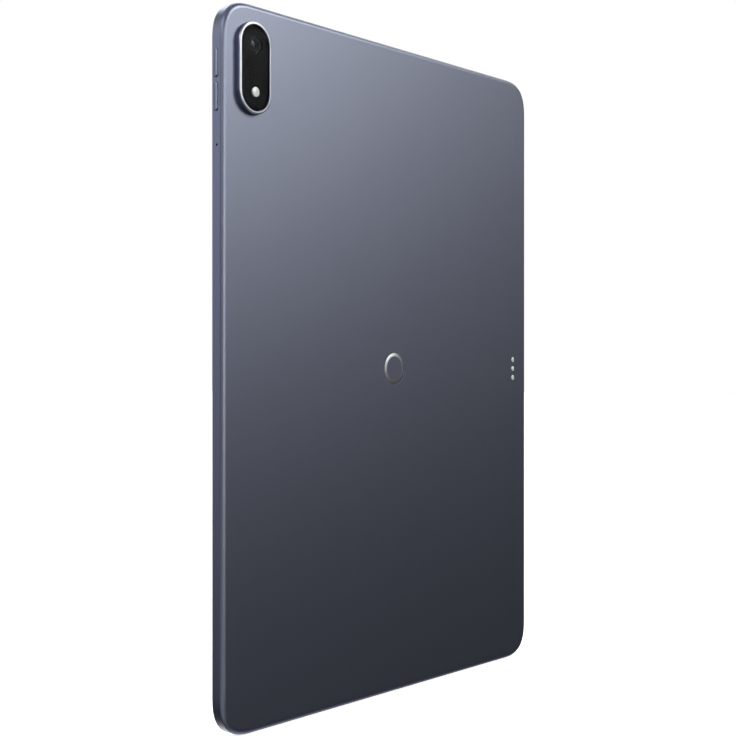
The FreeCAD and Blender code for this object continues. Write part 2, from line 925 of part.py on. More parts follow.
def battery_board():
    """The protection board along the top of the cells, with its tabs and its cable to the main board."""
    z = (battery_top + battery_board_gap, battery_top + battery_board_gap + battery_board_height)
    y = (board_front, board_front + battery_board_depth)
    low, high = battery_span()
    board = block((low - high, high - low), y, z)
    tabs = []
    for side in (-1, 1):
        for share in battery_tab_shares:
            middle = side * (low + share * (high - low))
            tabs.append(block(around(middle, battery_tab_width), y, (battery_top, z[1])))
    level = board_front - flex_depth / 2
    points = [(level, z[0] + flex_clearance), (level, board_bottom + 2 * narrow_flex)]
    side = wide_flex / 2 + battery_cable_gap
    return joined(board, *tabs, fold(points, (side, side + battery_cable_width), "yz"))


def speaker_front():
    return inside_front + flex_depth


def speaker_box():
    """A sealed plastic chamber with a mouth at the drilled holes and an ear at each end."""
    x = around(speaker_x, speaker_width)
    y = (speaker_front(), inside_back - speaker_gap)
    z = (body_height - speaker_inner_from_end, inside_top - speaker_mesh_depth)
    chamber = block(x, y, z)
    mouth_x = around(speaker_x, speaker_nozzle_width)
    mouth_z = (z[1] - speaker_nozzle_length, z[1])
    chamber = joined(chamber, block(mouth_x, around(port_y, speaker_nozzle_depth), mouth_z))
    ear_x = around(speaker_x, speaker_width + 2 * speaker_ear)
    ear_z = (z[0] + speaker_ear_low, z[1] - speaker_ear_high)
    chamber = joined(chamber, block(ear_x, (board_front, board_back), ear_z))
    thin = speaker_wall
    room = block((x[0] + thin, x[1] - thin), (y[0] + thin, y[1] - thin), (z[0] + thin, z[1] - thin))
    throat_x = (mouth_x[0] + thin, mouth_x[1] - thin)
    throat_y = around(port_y, speaker_nozzle_depth - 2 * thin)
    throat = block(throat_x, throat_y, (mouth_z[0] + thin, z[1]))
    return chamber.cut([room, throat] + screw_holes(speaker_screw_places()))


def speaker_middle():
    """The middle of the speaker's drive, clear of the throat."""
    return body_height - speaker_inner_from_end + speaker_wall + cone_width / 2 + speaker_drive_gap


def speaker_cone():
    """The diaphragm, with the ring of its voice coil."""
    top = inside_back - speaker_gap - speaker_wall - cone_travel - cone_clearance
    z = speaker_middle()
    across = around(z, cone_width)
    plate = block(around(speaker_x, cone_length), (top - cone_depth, top), across, cone_width / 2)
    length = speaker_magnet_length - voice_coil_shorter
    width = speaker_magnet_width - voice_coil_narrower
    y = (top - 2 * cone_depth, top - cone_depth)
    coil = block(around(speaker_x, length), y, around(z, width), width / 2)
    inner = width - 2 * voice_coil_band
    hollow = block(around(speaker_x, length - 2 * voice_coil_band), y, around(z, inner), inner / 2)
    return joined(plate, coil.cut(hollow))


def speaker_magnet():
    top = inside_back - speaker_gap - speaker_wall - 2 * (cone_travel + cone_clearance) - 2 * cone_depth
    y = (speaker_front() + speaker_wall, top)
    x = around(speaker_x, speaker_magnet_length)
    return block(x, y, around(speaker_middle(), speaker_magnet_width), speaker_magnet_corner)


def speaker_mesh():
    x = around(speaker_x, speaker_nozzle_width)
    y = around(port_y, speaker_nozzle_depth)
    return block(x, y, (inside_top - speaker_mesh_depth, inside_top), speaker_mesh_corner, "z")


def microphones():
    """One behind the long side with the volume keys and one beside the port."""
    side_y = around(back - microphone_from_back, microphone_size - microphone_narrower)
    side_z = around(body_height - microphone_from_top, microphone_size)
    side = block((inside_half - microphone_height, inside_half), side_y, side_z)
    foot_x = around(microphone_beside_port, microphone_size)
    foot_y = around(port_y, microphone_size - microphone_narrower)
    foot = block(foot_x, foot_y, (wall, wall + microphone_height))
    return Part.makeCompound([side, foot])


def front_camera():
    """The camera that looks out through the bezel of the glass."""
    size = front_camera_size
    low = ledge_level + front_camera_step
    at = (front_camera_x, mid_height)
    depth = (low, low + front_camera_depth - front_camera_gap)
    can = block(around(front_camera_x, size), depth, around(mid_height, size), front_camera_corner)
    return joined(can, rod("y", front_camera_lens, at, glass_back + front_camera_step, low))


def front_camera_flex():
    """The flex cable from the front camera up the side to the main board."""
    rear = ledge_level + front_camera_step + front_camera_depth - front_camera_gap
    y = (rear, rear + flex_depth)
    side = battery_half + flex_clearance
    track = (side, side + narrow_flex)
    turn = board_bottom + 2 * connector_length - narrow_flex
    foot = block((track[0], front_camera_x), y, around(mid_height, front_camera_size))
    climb = block(track, y, (mid_height, turn + narrow_flex / 2))
    level = rear + flex_depth / 2
    land = connector_front - flex_depth / 2
    rise = board_right + flex_clearance
    end = board_right - 2 * connector_length
    points = [(track[1] - flex_clearance, level), (rise, level), (rise, land), (end, land)]
    return joined(foot, climb, fold(points, around(turn, narrow_flex), "xy"))


def light_sensor():
    size = light_sensor_size
    x = (inside_half - size, inside_half - light_sensor_gap)
    y = (glass_back, glass_back + light_sensor_depth)
    return block(x, y, around(mid_height + light_sensor_above_camera, size))


def stylus_middle():
    """The middle of the stylus coil, so that the magnets above it stop short of the front camera."""
    return mid_height - front_camera_size - coil_length / 2 - 2.2 * (edge_magnet_length + edge_magnet_gap)


def stylus_magnets():
    """Four magnets behind the long side that hold a stylus, two on each side of its coil."""
    x = (inside_half - edge_magnet_depth, inside_half)
    y = around(0, edge_magnet_height)
    middle = stylus_middle()
    pieces = []
    for side in (-1, 1):
        for number in (0, 1):
            reach = coil_length / 2 + (0.6 + number) * (edge_magnet_length + edge_magnet_gap)
            pieces.append(block(x, y, around(middle + side * reach, edge_magnet_length)))
    return Part.makeCompound(pieces)


def stylus_coil():
    """A flat charging coil behind the long side."""
    x = (inside_half - coil_height, inside_half)
    middle = stylus_middle()
    corner = coil_width / 2 - coil_corner_less
    coil = block(x, around(0, coil_width), around(middle, coil_length), corner, "x")
    inner = around(0, coil_width - 2 * coil_band)
    run = around(middle, coil_length - 2 * coil_band)
    return coil.cut(block(x, inner, run, corner - coil_band, "x"))


def keyboard_magnets():
    """Flat magnets behind the rear wall, between the contacts' flex cable and the side."""
    side = keyboard_magnet_into_wall - inside_half
    x = (side, side + keyboard_magnet_width)
    y = (inside_back - keyboard_magnet_depth, inside_back)
    pieces = []
    for end in (-1, 1):
        for number in (0, 1):
            reach = 0.75 * keyboard_magnet_length + number * 1.6 * keyboard_magnet_length
            middle = mid_height + end * (reach + keyboard_magnet_spread)
            run = around(middle, keyboard_magnet_length)
            pieces.append(block(x, y, run, keyboard_magnet_corner))
    return Part.makeCompound(pieces)


def antennas():
    """L-shaped antenna carriers in two corners, behind the glass."""
    far = inside_half - antenna_from_side
    y = (inside_front, inside_back - antenna_rear_gap)
    pieces = []
    for side in (-1, 1):
        near = far - antenna_size
        x = (near, far) if side > 0 else (-far, -near)
        low = antenna_from_end if side > 0 else body_height - antenna_from_end - antenna_size
        high = low + antenna_size
        carrier = block(x, y, (low, high), antenna_corner)
        thin = antenna_wall
        room_z = (low + thin, high - thin)
        room = block((x[0] + thin, x[1] - thin), (y[0] + thin, y[1]), room_z, antenna_room_corner)
        pieces.append(carrier.cut(room))
    return Part.makeCompound(pieces)


pieces = {
    "rear_shell": rear_shell(),
    "cover_glass": cover_glass(),
    "glass_adhesive": glass_adhesive(),
    "camera_ring": camera_ring(),
    "camera_window": camera_window(),
    "camera_window_gasket": camera_window_gasket(),
    "flash_lens": flash_lens(),
    "flash_led": flash_led(),
    "flash_holder": flash_holder(),
    "rear_camera_sensor": rear_camera_sensor(),
    "rear_camera_housing": rear_camera_housing(),
    "rear_camera_lens": rear_camera_lens(),
    "rear_camera_flex": rear_camera_flex(),
    "volume_up_key": volume_key(0),
    "volume_down_key": volume_key(1),
    "power_key": power_key(),
    "key_switches": key_switches(),
    "key_brackets": key_brackets(),
    "rear_emblem": rear_emblem(),
    "keyboard_contacts": keyboard_contacts(),
    "contact_holder": contact_holder(),
    "contact_flex": contact_flex(),
    "display_cell": display_cell(),
    "display_backlight": display_backlight(),
    "display_plate": display_plate(),
    "display_flex": display_flex(),
    "main_board": main_board(),
    "sub_board": sub_board(),
    "board_connectors": board_connectors(),
    "processor": processor(),
    "board_chips": board_chips(),
    "processor_shield": shield(1),
    "radio_shield": shield(-1),
    "heat_spreader": heat_spreader(),
    "usb_receptacle": usb_receptacle(),
    "usb_tongue": usb_tongue(),
    "usb_seal": usb_seal(),
    "main_flex": main_flex(),
    "battery_cell_left": battery_cell(1),
    "battery_cell_right": battery_cell(-1),
    "battery_adhesive": battery_adhesive(),
    "battery_board": battery_board(),
    "speaker_magnets": Part.makeCompound(list(quarters(speaker_magnet()).values())),
    "speaker_meshes": Part.makeCompound(list(quarters(speaker_mesh()).values())),
    "microphones": microphones(),
    "front_camera": front_camera(),
    "front_camera_flex": front_camera_flex(),
    "light_sensor": light_sensor(),
    "edge_magnets": Part.makeCompound([stylus_magnets(), keyboard_magnets()]),
    "stylus_coil": stylus_coil(),
    "antennas": antennas(),
    "screws": screws(),
}
for place, shape in quarters(speaker_box()).items():
    pieces["speaker_box_" + place] = shape
for place, shape in quarters(speaker_cone()).items():
    pieces["speaker_cone_" + place] = shape

os.makedirs("parts", exist_ok=True)
for name, shape in pieces.items():
    shape.exportStep("parts/" + name + ".step")
    print(name, len(shape.Solids), "solids", round(shape.Volume, 2), "mm3", shape.isValid())
print(len(pieces), "nodes")
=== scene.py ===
import bpy
import bmesh
import math
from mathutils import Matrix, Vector


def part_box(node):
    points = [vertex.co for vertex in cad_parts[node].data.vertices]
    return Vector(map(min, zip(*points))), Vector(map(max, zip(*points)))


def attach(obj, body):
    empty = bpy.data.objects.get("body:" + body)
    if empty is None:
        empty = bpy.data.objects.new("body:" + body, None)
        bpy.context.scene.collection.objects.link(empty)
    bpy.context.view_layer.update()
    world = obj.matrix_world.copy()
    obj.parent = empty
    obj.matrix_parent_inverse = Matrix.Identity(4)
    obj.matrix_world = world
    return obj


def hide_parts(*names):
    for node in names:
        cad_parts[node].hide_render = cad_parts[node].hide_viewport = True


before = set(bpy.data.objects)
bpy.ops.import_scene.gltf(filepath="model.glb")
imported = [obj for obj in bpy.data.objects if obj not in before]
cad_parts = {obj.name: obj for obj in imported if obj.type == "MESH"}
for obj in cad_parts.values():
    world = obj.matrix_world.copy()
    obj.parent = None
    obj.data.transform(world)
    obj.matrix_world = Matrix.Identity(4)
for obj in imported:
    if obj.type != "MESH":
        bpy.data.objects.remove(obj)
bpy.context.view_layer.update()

mm = 0.001
scene = bpy.context.scene
scene.view_settings.view_transform = "Standard"

shellLow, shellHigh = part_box("rear_shell")
frontFace, backFace = shellLow.y, shellHigh.y
halfWidth = (shellHigh.x - shellLow.x) / 2
halfHeight = (shellHigh.z - shellLow.z) / 2
middleZ = shellLow.z + halfHeight


# every hard piece below is a stack of rings drawn from one outline

def roundedOutline(halfA, halfB, reach, power=2.0, steps=16, centre=(0.0, 0.0)):
    # points and outward normals of a rounded rectangle, reach is how far each corner bends
    points = []
    for quarter in range(4):
        signA, signB = ((1, 1), (-1, 1), (-1, -1), (1, -1))[quarter]
        for step in range(steps + 1):
            turn = step / steps if quarter % 2 == 0 else 1 - step / steps
            c = max(math.cos(turn * math.pi / 2), 0.0) ** (2 / power)
            s = max(math.sin(turn * math.pi / 2), 0.0) ** (2 / power)
            a = signA * (halfA - reach + reach * c)
            b = signB * (halfB - reach + reach * s)
            normal = Vector((signA * c ** (power - 1), signB * s ** (power - 1))).normalized()
            points.append((Vector((a + centre[0], b + centre[1])), normal))
    return points


def alongY(a, b, level):
    return Vector((a, level, b))


def alongX(a, b, level):
    return Vector((level, a, b))


def alongZ(a, b, level):
    return Vector((a, b, level))


def loft(bm, outline, levels, place, loop=False):
    # levels are (inset, level) pairs
    # a loop joins the last ring to the first, otherwise both ends are closed
    rings = []
    for inset, level in levels:
        spots = [point - normal * inset for point, normal in outline]
        rings.append([bm.verts.new(place(spot.x, spot.y, level)) for spot in spots])
    count = len(outline)
    pairs = list(zip(rings, rings[1:])) + ([(rings[-1], rings[0])] if loop else [])
    for ringA, ringB in pairs:
        for i in range(count):
            j = (i + 1) % count
            bm.faces.new((ringA[i], ringA[j], ringB[j], ringB[i]))
    if not loop:
        bm.faces.new(rings[0])
        bm.faces.new(list(reversed(rings[-1])))
    return rings


def finishMesh(bm, name, smoothAngle):
    bmesh.ops.remove_doubles(bm, verts=bm.verts, dist=1e-7)
    bmesh.ops.dissolve_degenerate(bm, dist=1e-7, edges=bm.edges)
    bmesh.ops.recalc_face_normals(bm, faces=bm.faces)
    mesh = bpy.data.meshes.new(name)
    bm.to_mesh(mesh)
    bm.free()
    for face in mesh.polygons:
        face.use_smooth = True
    mesh.set_sharp_from_angle(angle=math.radians(smoothAngle))
    return mesh


def addPiece(name, bm, material, body, nodes=(), smoothAngle=20):
    piece = bpy.data.objects.new(name, finishMesh(bm, name, smoothAngle))
    scene.collection.objects.link(piece)
    piece.data.materials.append(material)
    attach(piece, body)
    if nodes:
        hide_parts(*nodes)
    return piece


def paintWhere(piece, material, test):
    # a second finish on the faces whose middle passes the test
    piece.data.materials.append(material)
    last = len(piece.data.materials) - 1
    for face in piece.data.polygons:
        if test(face.center):
            face.material_index = last


def weigh(piece):
    weighted = piece.modifiers.new("evenShading", "WEIGHTED_NORMAL")
    weighted.keep_sharp = True
    weighted.weight = 100


def arc(startAngle, endAngle, radius, centre, steps):
    # (inset, level) points of a round edge, angles in degrees from the level axis
    spots = []
    for step in range(steps + 1):
        angle = math.radians(startAngle + (endAngle - startAngle) * step / steps)
        spots.append((centre[0] - radius * math.sin(angle), centre[1] + radius * math.cos(angle)))
    return spots


def cutWith(piece, bm):
    # takes the shape in bm out of the piece for good
    tool = bpy.data.objects.new("tool", finishMesh(bm, "tool", 30))
    scene.collection.objects.link(tool)
    cutting = piece.modifiers.new("cut", "BOOLEAN")
    cutting.operation = "DIFFERENCE"
    cutting.solver = "EXACT"
    cutting.object = tool
    bpy.context.view_layer.update()
    made = bpy.data.meshes.new_from_object(piece.evaluated_get(bpy.context.evaluated_depsgraph_get()))
    piece.modifiers.clear()
    piece.data = made
    bpy.data.objects.remove(tool)
    for face in made.polygons:
        face.use_smooth = True
    made.set_sharp_from_angle(angle=math.radians(20))
    weigh(piece)


holeReach = {"front": 5 * mm, "back": 10 * mm}       # how far past each face a through hole is cut


def cutRound(piece, holes):
    # holes are (x, z, radius), cut right through along Y
    bm = bmesh.new()
    for x, z, radius in holes:
        outline = roundedOutline(radius, radius, radius, steps=16, centre=(x, z))
        ends = [(0, frontFace - holeReach["front"]), (0, backFace + holeReach["back"])]
        loft(bm, outline, ends, alongY)
    cutWith(piece, bm)


def shaderOf(name):
    material = bpy.data.materials.new(name)
    material.use_nodes = True
    tree = material.node_tree
    return material, tree, tree.nodes["Principled BSDF"], tree.nodes.new("ShaderNodeTexCoord")


def speckle(tree, place, size, detail=3.0, roughness=0.55):
    # a noise whose blobs are about size metres across
    noise = tree.nodes.new("ShaderNodeTexNoise")
    noise.inputs["Scale"].default_value = 1.0 / size
    noise.inputs["Detail"].default_value = detail
    noise.inputs["Roughness"].default_value = roughness
    tree.links.new(place.outputs["Object"], noise.inputs["Vector"])
    return noise.outputs["Fac"]


def spread(tree, factor, low, high, fromLow=0.3, fromHigh=0.7):
    remap = tree.nodes.new("ShaderNodeMapRange")
    remap.inputs["From Min"].default_value = fromLow
    remap.inputs["From Max"].default_value = fromHigh
    remap.inputs["To Min"].default_value = low
    remap.inputs["To Max"].default_value = high
    tree.links.new(factor, remap.inputs["Value"])
    return remap.outputs["Result"]


def blendColours(tree, factor, first, second):
    mix = tree.nodes.new("ShaderNodeMix")
    mix.data_type = "RGBA"
    mix.inputs["A"].default_value = (*first, 1.0)
    mix.inputs["B"].default_value = (*second, 1.0)
    tree.links.new(factor, mix.inputs["Factor"])
    return mix.outputs["Result"]


def addBump(tree, shader, height, strength, distance):
    bump = tree.nodes.new("ShaderNodeBump")
    bump.inputs["Strength"].default_value = strength
    bump.inputs["Distance"].default_value = distance
    tree.links.new(height, bump.inputs["Height"])
    tree.links.new(bump.outputs["Normal"], shader.inputs["Normal"])


def makeFinish(name, look):
    # one mottled finish: two close colours, a roughness that wanders and a fine bump
    material, tree, shader, place = shaderOf(name)
    shader.inputs["Metallic"].default_value = look.get("metallic", 0.0)
    shader.inputs["IOR"].default_value = look.get("ior", 1.5)
    shader.inputs["Specular IOR Level"].default_value = look.get("gloss", 0.5)
    shader.inputs["Coat Weight"].default_value = look.get("coat", 0.0)
    shader.inputs["Coat Roughness"].default_value = look.get("coatRoughness", 0.05)
    shader.inputs["Transmission Weight"].default_value = look.get("clear", 0.0)
    coarse = speckle(tree, place, look["blotch"])
    fine = speckle(tree, place, look["grain"])
    tree.links.new(blendColours(tree, coarse, look["colour"], look["second"]), shader.inputs["Base Color"])
    roughness = look["roughness"]
    wander = look.get("wander", 0.03)
    tree.links.new(spread(tree, fine, roughness - wander, roughness + wander), shader.inputs["Roughness"])
    if look.get("bump"):
        addBump(tree, shader, fine, look["bump"], look["grain"] * bumpShare)
    return material


bumpShare = 0.3        # how deep a bump is beside the size of its grain
finishes = {
    "anodised": {"colour": (0.229, 0.242, 0.330), "second": (0.238, 0.251, 0.340), "metallic": 1.0,
                 "roughness": 0.38, "wander": 0.02, "blotch": 0.02, "grain": 0.00018, "bump": 0.12},
    "satin": {"colour": (0.56, 0.57, 0.64), "second": (0.52, 0.53, 0.60), "metallic": 1.0,
              "roughness": 0.32, "wander": 0.02, "blotch": 0.004, "grain": 0.0003, "bump": 0.05},
    "brightMetal": {"colour": (0.86, 0.87, 0.92), "second": (0.80, 0.81, 0.87), "metallic": 1.0,
                    "roughness": 0.30, "wander": 0.03, "blotch": 0.003, "grain": 0.0003, "bump": 0.05},
    "cameraGlass": {"colour": (0.86, 0.88, 0.93), "second": (0.82, 0.85, 0.91), "clear": 1.0, "ior": 1.08,
                    "gloss": 0.3, "roughness": 0.02, "wander": 0.005, "blotch": 0.005, "grain": 0.001},
    "clearGlass": {"colour": (0.98, 0.985, 0.98), "second": (0.96, 0.98, 0.97), "clear": 1.0, "ior": 1.5,
                   "roughness": 0.012, "wander": 0.004, "blotch": 0.05, "grain": 0.003},
    "ink": {"colour": (0.003, 0.003, 0.0035), "second": (0.004, 0.004, 0.0045), "roughness": 0.35,
            "gloss": 0.05, "blotch": 0.01, "grain": 0.0003},
    "screen": {"colour": (0.006, 0.0065, 0.008), "second": (0.009, 0.0095, 0.012), "roughness": 0.22,
               "gloss": 0.2, "blotch": 0.03, "grain": 0.0005},
    "lensBlack": {"colour": (0.012, 0.012, 0.014), "second": (0.02, 0.02, 0.022), "roughness": 0.3,
                  "gloss": 0.1, "blotch": 0.001, "grain": 0.0002, "bump": 0.05},
    "lensGlass": {"colour": (0.012, 0.016, 0.03), "second": (0.02, 0.014, 0.032), "roughness": 0.2,
                  "wander": 0.02, "gloss": 0.5, "blotch": 0.0015, "grain": 0.0005},
    "diffuser": {"colour": (0.88, 0.87, 0.85), "second": (0.83, 0.82, 0.80), "metallic": 0.25,
                 "roughness": 0.4, "blotch": 0.0008, "grain": 0.0002, "bump": 0.15, "coat": 0.6},
    "nickel": {"colour": (0.97, 0.97, 0.99), "second": (0.92, 0.92, 0.94), "metallic": 0.4,
               "roughness": 0.36, "wander": 0.04, "blotch": 0.0008, "grain": 0.0001, "bump": 0.05},
    "gold": {"colour": (0.85, 0.62, 0.28), "second": (0.78, 0.55, 0.24), "metallic": 1.0,
             "roughness": 0.25, "blotch": 0.0006, "grain": 0.0001},
    "steel": {"colour": (0.56, 0.56, 0.57), "second": (0.48, 0.48, 0.50), "metallic": 1.0,
              "roughness": 0.34, "wander": 0.08, "blotch": 0.003, "grain": 0.0002, "bump": 0.08},
    "blackPlastic": {"colour": (0.018, 0.018, 0.02), "second": (0.026, 0.026, 0.028), "roughness": 0.55,
                     "wander": 0.06, "blotch": 0.003, "grain": 0.0002, "bump": 0.2},
    "foamTape": {"colour": (0.012, 0.012, 0.012), "second": (0.02, 0.02, 0.02), "roughness": 0.8,
                 "blotch": 0.001, "grain": 0.0003, "bump": 0.5},
    "rubber": {"colour": (0.02, 0.02, 0.02), "second": (0.03, 0.03, 0.03), "roughness": 0.75,
               "blotch": 0.001, "grain": 0.0002, "bump": 0.3},
    "board": {"colour": (0.008, 0.045, 0.035), "second": (0.012, 0.075, 0.055), "roughness": 0.38,
              "blotch": 0.0025, "grain": 0.0004, "bump": 0.2, "coat": 0.3},
    "chip": {"colour": (0.02, 0.02, 0.022), "second": (0.032, 0.032, 0.034), "roughness": 0.5,
             "blotch": 0.001, "grain": 0.00015, "bump": 0.2},
    "amberFilm": {"colour": (0.32, 0.13, 0.02), "second": (0.42, 0.19, 0.035), "roughness": 0.3,
                  "blotch": 0.002, "grain": 0.0004, "coat": 0.5},
    "whiteFilm": {"colour": (0.75, 0.75, 0.74), "second": (0.82, 0.82, 0.82), "roughness": 0.4,
                  "blotch": 0.01, "grain": 0.0005},
    "pouch": {"colour": (0.05, 0.05, 0.055), "second": (0.075, 0.075, 0.08), "metallic": 0.6,
              "roughness": 0.42, "wander": 0.08, "blotch": 0.012, "grain": 0.001, "bump": 0.2},
    "graphite": {"colour": (0.04, 0.04, 0.043), "second": (0.06, 0.06, 0.063), "metallic": 0.4,
                 "roughness": 0.5, "blotch": 0.003, "grain": 0.0005, "bump": 0.15},
    "magnet": {"colour": (0.42, 0.42, 0.44), "second": (0.36, 0.36, 0.38), "metallic": 1.0,
               "roughness": 0.3, "blotch": 0.002, "grain": 0.0003, "bump": 0.08},
    "copper": {"colour": (0.72, 0.34, 0.18), "second": (0.6, 0.27, 0.13), "metallic": 1.0,
               "roughness": 0.32, "blotch": 0.0006, "grain": 0.0002, "bump": 0.2},
    "coneFilm": {"colour": (0.06, 0.06, 0.065), "second": (0.09, 0.09, 0.095), "roughness": 0.45,
                 "blotch": 0.003, "grain": 0.0004, "bump": 0.15},
    "darkMetal": {"colour": (0.03, 0.03, 0.033), "second": (0.045, 0.045, 0.048), "metallic": 0.7,
                  "roughness": 0.45, "blotch": 0.002, "grain": 0.0003, "bump": 0.1},
}
finish = {name: makeFinish(name, look) for name, look in finishes.items()}
print("finishes", len(finish))


# the body is one machined tray
bodyShape = {
    "cornerReach": 17.5 * mm, "cornerPower": 2.8, "cornerSteps": 40,
    "wall": 2.8 * mm, "rim": 1.0 * mm, "ledge": 0.75 * mm, "floor": 0.7 * mm,
    "backRadius": 2.6 * mm, "backTurn": 62.0,        # the back edge meets the side wall at a crisp line
    "rimRound": 0.5 * mm, "rimBevel": 0.12 * mm,
}
bodyOutline = roundedOutline(halfWidth, halfHeight, bodyShape["cornerReach"], bodyShape["cornerPower"],
                             bodyShape["cornerSteps"], (0.0, middleZ))


def buildBody():
    s = bodyShape
    bm = bmesh.new()
    width = s["backRadius"] * math.sin(math.radians(s["backTurn"]))
    levels = [(s["wall"], backFace - s["floor"]), (s["wall"], frontFace + s["ledge"])]
    levels += [(s["rim"], frontFace + s["ledge"]), (s["rim"], frontFace + s["rimBevel"])]
    levels += [(s["rim"] - s["rimBevel"], frontFace)]
    levels += arc(180, 90, s["rimRound"], (s["rimRound"], frontFace + s["rimRound"]), 5)
    levels += arc(s["backTurn"], 0, s["backRadius"], (width, backFace - s["backRadius"]), 10)
    loft(bm, bodyOutline, levels, alongY)
    return bm


openings = {
    "ringGap": 0.06 * mm, "keyGap": 0.03 * mm, "lip": 0.06 * mm,
    "keyLength": 11.3 * mm, "powerLength": 13.4 * mm, "keyWidth": 2.0 * mm,
    "grilleHole": 1.2 * mm, "grillePitch": 2.3 * mm, "grilleCount": 12,
    "micHole": 0.9 * mm, "micFromTop": 57.6 * mm, "micFromBack": 3.1 * mm, "micBesidePort": 11.0 * mm,
    "sleeve": 3.5 * mm, "emblemDepth": 0.25 * mm, "emblemGap": 0.03 * mm, "portGap": 0.12 * mm,
    "portFlare": 0.25 * mm, "eyeGap": 0.1 * mm, "flare": 0.3 * mm, "past": 1 * mm, "sink": 1.5 * mm,
}
keyLow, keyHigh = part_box("volume_up_key")
keyY = (keyLow.y + keyHigh.y) / 2
portLow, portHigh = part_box("usb_receptacle")
portY = (portLow.y + portHigh.y) / 2
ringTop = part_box("camera_ring")[1].y
windowLow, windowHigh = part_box("camera_window")
ringX = (windowLow.x + windowHigh.x) / 2
ringZ = (windowLow.z + windowHigh.z) / 2
flashLow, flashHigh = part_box("flash_lens")
flashZ = (flashLow.z + flashHigh.z) / 2
lensLow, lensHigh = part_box("rear_camera_lens")
lensZ = (lensLow.z + lensHigh.z) / 2
ringShape = {
    "halfWidth": 8.9 * mm, "halfLength": 18.4 * mm, "topRound": 0.55 * mm, "draft": 0.08 * mm,
    "windowGap": 0.05 * mm, "innerBevel": 0.12 * mm, "foot": 0.6 * mm, "straight": 0.3 * mm,
    "seatGap": 0.1 * mm, "seat": 0.9 * mm,
}
pillOutline = roundedOutline(ringShape["halfWidth"], ringShape["halfLength"], ringShape["halfWidth"],
                             steps=28, centre=(ringX, ringZ))


def holeInto(bm, place, at, radius, low, high, lip, outward):
    # a round hole with a small countersunk lip at its outer end
    outline = roundedOutline(radius, radius, radius, steps=6, centre=at)
    if outward > 0:
        levels = [(0, low), (0, high - lip), (-lip - openings["flare"], high + openings["flare"])]
    else:
        levels = [(-lip - openings["flare"], low - openings["flare"]), (0, low + lip), (0, high)]
    loft(bm, outline, levels, place)


def grilleSpots():
    for body in ("speaker_box_upper_left", "speaker_box_upper_right"):
        low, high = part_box(body)
        first = (low.x + high.x) / 2 - openings["grillePitch"] * (openings["grilleCount"] - 1) / 2
        for number in range(openings["grilleCount"]):
            yield first + number * openings["grillePitch"]


def buildCutters():
    o = openings
    inward = bodyShape["wall"] + o["past"]
    flare, lip = o["flare"], o["lip"]
    sunk, proud = backFace - o["sink"], backFace + o["past"]
    bm = bmesh.new()
    loft(bm, pillOutline, [(-o["ringGap"], sunk), (-o["ringGap"], proud)], alongY)
    for key in ("volume_up_key", "volume_down_key"):
        low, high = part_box(key)
        halfLength = o["keyLength"] / 2 + o["keyGap"]
        halfKey = o["keyWidth"] / 2 + o["keyGap"]
        middle = (keyY, (low.z + high.z) / 2)
        outline = roundedOutline(halfKey, halfLength, halfKey, steps=10, centre=middle)
        face = halfWidth
        loft(bm, outline, [(0, face - inward), (0, face - lip), (-lip - flare, face + flare)], alongX)
    low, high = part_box("power_key")
    outline = roundedOutline(o["powerLength"] / 2 + o["keyGap"], o["keyWidth"] / 2 + o["keyGap"],
                             o["keyWidth"] / 2 + o["keyGap"], steps=10, centre=((low.x + high.x) / 2, keyY))
    face = shellHigh.z
    loft(bm, outline, [(0, face - inward), (0, face - lip), (-lip - flare, face + flare)], alongZ)
    halfPortX = (portHigh.x - portLow.x) / 2 + o["portGap"]
    halfPortY = (portHigh.y - portLow.y) / 2 + o["portGap"]
    outline = roundedOutline(halfPortX, halfPortY, halfPortY, steps=12, centre=(0.0, portY))
    loft(bm, outline, [(-flare - o["portFlare"], -flare), (0, o["portFlare"]), (0, inward)], alongZ)
    for x in grilleSpots():
        holeInto(bm, alongZ, (x, portY), o["grilleHole"] / 2, 0.0, inward, lip, -1)
        holeInto(bm, alongZ, (x, portY), o["grilleHole"] / 2, face - inward, face, lip, 1)
    holeInto(bm, alongZ, (o["micBesidePort"], portY), o["micHole"] / 2, 0.0, inward, lip, -1)
    side = (backFace - o["micFromBack"], shellHigh.z - o["micFromTop"])
    holeInto(bm, alongX, side, o["micHole"] / 2, halfWidth - inward, halfWidth, lip, 1)
    for at in contactSpots():
        outline = roundedOutline(o["sleeve"] / 2, o["sleeve"] / 2, o["sleeve"] / 2, steps=10, centre=at)
        loft(bm, outline, [(0, sunk), (0, proud)], alongY)
    low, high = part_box("rear_emblem")
    radius = (high.x - low.x) / 2 + o["emblemGap"]
    outline = roundedOutline(radius, radius, radius, steps=32, centre=(0.0, (low.z + high.z) / 2))
    band = emblemShape["band"] + 2 * o["emblemGap"]
    bottom = backFace - o["emblemDepth"]
    loft(bm, outline, [(0, bottom), (0, proud), (band, proud), (band, bottom)], alongY, loop=True)
    low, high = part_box("front_camera")
    half = (high.x - low.x) / 2 + o["eyeGap"]
    outline = roundedOutline(half, half, flare, steps=3, centre=((low.x + high.x) / 2, middleZ))
    loft(bm, outline, [(0, frontFace + bodyShape["ledge"] / 2), (0, high.y + o["eyeGap"])], alongY)
    return bm


emblemShape = {"band": 1.5 * mm, "edge": 0.04 * mm, "fall": 0.16 * mm, "hollow": 1.3,
               "steps": 48, "slopes": 9}


def contactSpots():
    low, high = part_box("keyboard_contacts")
    pad = high.x - low.x
    first, last = low.z + pad / 2, high.z - pad / 2
    return [((low.x + high.x) / 2, first + (last - first) * number / 2) for number in range(3)]


bodyPiece = addPiece("rearShell", buildBody(), finish["anodised"], "tablet", ["rear_shell"])
cutWith(bodyPiece, buildCutters())
print("body", len(bodyPiece.data.vertices), "points")


